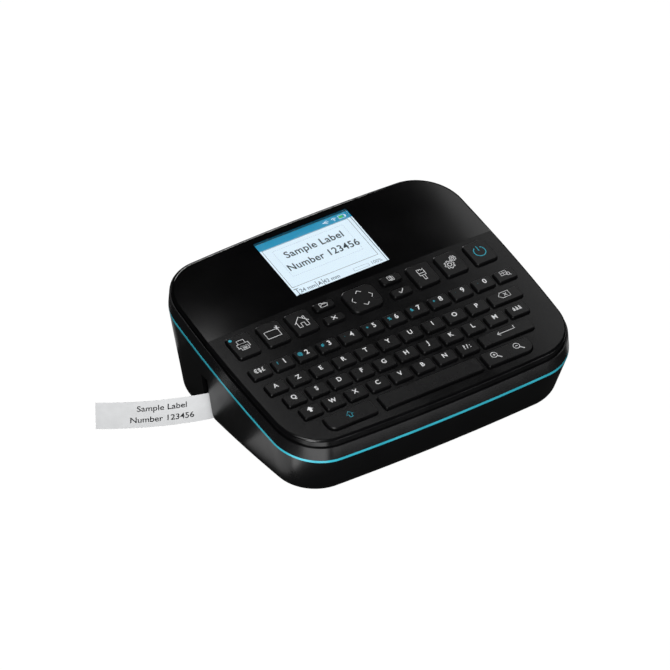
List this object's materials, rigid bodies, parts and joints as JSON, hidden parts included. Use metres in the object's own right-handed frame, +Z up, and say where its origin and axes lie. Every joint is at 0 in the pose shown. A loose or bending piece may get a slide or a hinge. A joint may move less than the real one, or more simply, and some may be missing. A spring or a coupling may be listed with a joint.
{
  "type": "label maker",
  "caption": "Desktop label maker with a tilted letter keyboard, colour screen, side slot with a printed label, tape cassette and cutter inside.",
  "frame": {"origin": "centre of the body in plan, on the surface the label maker stands on", "axes": "+X to the right of someone typing, +Y to the back (screen side), +Z up"},
  "size_m": [0.2598, 0.1622, 0.0765],
  "materials": {
    "lower_shell": "satin",
    "upper_shell": "gloss",
    "fascia": "fine texture",
    "display_gloss": "high gloss",
    "accent": "gloss",
    "key_plastic": "fine texture",
    "soft_rubber": "matte",
    "silicone": "matte",
    "lens": "clear",
    "lcd": "satin",
    "circuit_board": "satin",
    "steel": "brushed",
    "frame_plastic": "matte",
    "white_plastic": "satin",
    "tape_white": "satin",
    "ribbon_black": "satin",
    "cassette_plastic": "satin",
    "pack_plastic": "matte",
    "head_alloy": "satin"
  },
  "bodies": {
    "case": {"lower_housing": "lower_shell", "non_slip_ring": "soft_rubber", "accent_strip": "accent", "upper_housing": "upper_shell", "keyboard_fascia": "fascia", "display_panel": "display_gloss", "screen_lens": "lens", "lcd_module": "lcd", "keypad_mat": "silicone", "main_board": "circuit_board", "board_screws": "steel", "housing_screws": "steel", "hinge_pins": "steel", "tape_cassette": "cassette_plastic", "tape_leader": "tape_white", "printed_label": "tape_white", "mechanism_frame": "frame_plastic", "drive_motor": "steel", "cutter_motor": "steel", "label_chute": "frame_plastic", "battery_pack": "pack_plastic", "battery_contacts": "frame_plastic", "io_board": "circuit_board", "power_jack": "frame_plastic", "usb_socket": "steel"},
    "print_key_body": {"print_key": "key_plastic"},
    "new_label_key_body": {"new_label_key": "key_plastic"},
    "home_key_body": {"home_key": "key_plastic"},
    "folder_key_body": {"folder_key": "key_plastic"},
    "cancel_key_body": {"cancel_key": "key_plastic"},
    "insert_key_body": {"insert_key": "key_plastic"},
    "ok_key_body": {"ok_key": "key_plastic"},
    "format_key_body": {"format_key": "key_plastic"},
    "settings_key_body": {"settings_key": "key_plastic"},
    "power_key_body": {"power_key": "key_plastic"},
    "number_keys_body": {"number_keys": "key_plastic"},
    "letter_keys_upper_body": {"letter_keys_upper": "key_plastic"},
    "backspace_key_body": {"backspace_key": "key_plastic"},
    "letter_keys_middle_body": {"letter_keys_middle": "key_plastic"},
    "letter_keys_lower_body": {"letter_keys_lower": "key_plastic"},
    "enter_key_body": {"enter_key": "key_plastic"},
    "shift_key_body": {"shift_key": "key_plastic"},
    "space_key_body": {"space_key": "key_plastic"},
    "zoom_rocker": {"zoom_key": "key_plastic"},
    "pad_pivot": {"navigation_pivot": "frame_plastic"},
    "pad": {"navigation_pad": "key_plastic"},
    "cassette_door": {"cassette_cover": "lower_shell"},
    "battery_door": {"battery_cover": "lower_shell"},
    "platen": {"platen_roller": "soft_rubber", "platen_gear": "white_plastic"},
    "idler": {"idler_gear": "white_plastic"},
    "drive_rotor": {"motor_pinion": "white_plastic"},
    "tape_spool": {"tape_roll": "tape_white"},
    "ribbon_supply": {"ribbon_supply_spool": "ribbon_black"},
    "ribbon_takeup": {"ribbon_takeup_spool": "ribbon_black"},
    "head": {"print_head": "head_alloy", "head_carrier": "frame_plastic"},
    "cutter": {"cutter_blade": "steel"},
    "cutter_rotor": {"cutter_pinion": "white_plastic"}
  },
  "joints": [
    {"name": "print_key_press", "type": "slide", "parent": "case", "child": "print_key_body", "axis": [0, 0.1994, -0.9799], "range_m": [0, 0.001], "stiffness_N_per_m": 600, "springref_m": -0.0002},
    {"name": "new_label_key_press", "type": "slide", "parent": "case", "child": "new_label_key_body", "axis": [0, 0.1994, -0.9799], "range_m": [0, 0.001], "stiffness_N_per_m": 600, "springref_m": -0.0002},
    {"name": "home_key_press", "type": "slide", "parent": "case", "child": "home_key_body", "axis": [0, 0.1994, -0.9799], "range_m": [0, 0.001], "stiffness_N_per_m": 600, "springref_m": -0.0002},
    {"name": "folder_key_press", "type": "slide", "parent": "case", "child": "folder_key_body", "axis": [0, 0.1994, -0.9799], "range_m": [0, 0.001], "stiffness_N_per_m": 600, "springref_m": -0.0002},
    {"name": "cancel_key_press", "type": "slide", "parent": "case", "child": "cancel_key_body", "axis": [0, 0.1994, -0.9799], "range_m": [0, 0.001], "stiffness_N_per_m": 600, "springref_m": -0.0002},
    {"name": "insert_key_press", "type": "slide", "parent": "case", "child": "insert_key_body", "axis": [0, 0.1994, -0.9799], "range_m": [0, 0.001], "stiffness_N_per_m": 600, "springref_m": -0.0002},
    {"name": "ok_key_press", "type": "slide", "parent": "case", "child": "ok_key_body", "axis": [0, 0.1994, -0.9799], "range_m": [0, 0.001], "stiffness_N_per_m": 600, "springref_m": -0.0002},
    {"name": "format_key_press", "type": "slide", "parent": "case", "child": "format_key_body", "axis": [0, 0.1994, -0.9799], "range_m": [0, 0.001], "stiffness_N_per_m": 600, "springref_m": -0.0002},
    {"name": "settings_key_press", "type": "slide", "parent": "case", "child": "settings_key_body", "axis": [0, 0.1994, -0.9799], "range_m": [0, 0.001], "stiffness_N_per_m": 600, "springref_m": -0.0002},
    {"name": "power_key_press", "type": "slide", "parent": "case", "child": "power_key_body", "axis": [0, 0.1994, -0.9799], "range_m": [0, 0.001], "stiffness_N_per_m": 600, "springref_m": -0.0002},
    {"name": "number_keys_press", "type": "slide", "parent": "case", "child": "number_keys_body", "axis": [0, 0.1994, -0.9799], "range_m": [0, 0.001], "stiffness_N_per_m": 600, "springref_m": -0.0002},
    {"name": "letter_keys_upper_press", "type": "slide", "parent": "case", "child": "letter_keys_upper_body", "axis": [0, 0.1994, -0.9799], "range_m": [0, 0.001], "stiffness_N_per_m": 600, "springref_m": -0.0002},
    {"name": "backspace_key_press", "type": "slide", "parent": "case", "child": "backspace_key_body", "axis": [0, 0.1994, -0.9799], "range_m": [0, 0.001], "stiffness_N_per_m": 600, "springref_m": -0.0002},
    {"name": "letter_keys_middle_press", "type": "slide", "parent": "case", "child": "letter_keys_middle_body", "axis": [0, 0.1994, -0.9799], "range_m": [0, 0.001], "stiffness_N_per_m": 600, "springref_m": -0.0002},
    {"name": "letter_keys_lower_press", "type": "slide", "parent": "case", "child": "letter_keys_lower_body", "axis": [0, 0.1994, -0.9799], "range_m": [0, 0.001], "stiffness_N_per_m": 600, "springref_m": -0.0002},
    {"name": "enter_key_press", "type": "slide", "parent": "case", "child": "enter_key_body", "axis": [0, 0.1994, -0.9799], "range_m": [0, 0.001], "stiffness_N_per_m": 600, "springref_m": -0.0002},
    {"name": "shift_key_press", "type": "slide", "parent": "case", "child": "shift_key_body", "axis": [0, 0.1994, -0.9799], "range_m": [0, 0.001], "stiffness_N_per_m": 600, "springref_m": -0.0002},
    {"name": "space_key_press", "type": "slide", "parent": "case", "child": "space_key_body", "axis": [0, 0.1994, -0.9799], "range_m": [0, 0.001], "stiffness_N_per_m": 600, "springref_m": -0.0002},
    {"name": "zoom_rock", "type": "hinge", "parent": "case", "child": "zoom_rocker", "pos_m": [0.0522, -0.06609, 0.04348], "axis": [0, 0.9799, 0.1994], "range_deg": [-2, 2], "stiffness_Nm_per_rad": 0.3},
    {"name": "pad_up_down", "type": "hinge", "parent": "case", "child": "pad_pivot", "pos_m": [0, 0.00787, 0.05812], "axis": [1, 0, 0], "range_deg": [-2, 2], "stiffness_Nm_per_rad": 0.3},
    {"name": "pad_left_right", "type": "hinge", "parent": "pad_pivot", "child": "pad", "pos_m": [0, 0.00787, 0.05812], "axis": [0, 0.9799, 0.1994], "range_deg": [-2, 2], "stiffness_Nm_per_rad": 0.3},
    {"name": "cassette_cover_hinge", "type": "hinge", "parent": "case", "child": "cassette_door", "pos_m": [0.015, 0, 0.0031], "axis": [0, -1, 0], "range_deg": [0, 95]},
    {"name": "battery_cover_hinge", "type": "hinge", "parent": "case", "child": "battery_door", "pos_m": [0.0715, 0, 0.0031], "axis": [0, -1, 0], "range_deg": [0, 95]},
    {"name": "platen_spin", "type": "hinge", "parent": "case", "child": "platen", "pos_m": [-0.0755, 0.02718, 0.02], "axis": [0, 0, 1], "continuous": true},
    {"name": "idler_spin", "type": "hinge", "parent": "case", "child": "idler", "pos_m": [-0.05936, 0.0329, 0.02], "axis": [0, 0, 1], "continuous": true},
    {"name": "drive_spin", "type": "hinge", "parent": "case", "child": "drive_rotor", "pos_m": [-0.06, 0.045, 0.02], "axis": [0, 0, 1], "continuous": true},
    {"name": "tape_roll_spin", "type": "hinge", "parent": "case", "child": "tape_spool", "pos_m": [-0.0134, -0.0003, 0.02], "axis": [0, 0, 1], "continuous": true},
    {"name": "ribbon_supply_spin", "type": "hinge", "parent": "case", "child": "ribbon_supply", "pos_m": [-0.052, -0.012, 0.02], "axis": [0, 0, 1], "continuous": true},
    {"name": "ribbon_takeup_spin", "type": "hinge", "parent": "case", "child": "ribbon_takeup", "pos_m": [-0.05, 0.01, 0.02], "axis": [0, 0, 1], "continuous": true},
    {"name": "head_release", "type": "slide", "parent": "case", "child": "head", "axis": [0, -1, 0], "range_m": [0, 0.003]},
    {"name": "cutter_stroke", "type": "slide", "parent": "case", "child": "cutter", "axis": [0, 1, 0], "range_m": [0, 0.005]},
    {"name": "cutter_pinion_spin", "type": "hinge", "parent": "case", "child": "cutter_rotor", "pos_m": [-0.07788, 0.004, 0.02], "axis": [0, 0, 1], "range_deg": [-75, 5]}
  ],
  "couplings": [
    {"joint": "idler_spin", "follows": "platen_spin", "ratio": -0.88889},
    {"joint": "drive_spin", "follows": "platen_spin", "ratio": 2.6667},
    {"joint": "tape_roll_spin", "follows": "platen_spin", "ratio": -0.17391},
    {"joint": "ribbon_supply_spin", "follows": "platen_spin", "ratio": -0.44444},
    {"joint": "ribbon_takeup_spin", "follows": "platen_spin", "ratio": 0.57143},
    {"joint": "head_release", "follows": "cassette_cover_hinge", "m_per_rad": 0.0018093},
    {"joint": "cutter_pinion_spin", "follows": "cutter_stroke", "rad_per_m": -250}
  ]
}
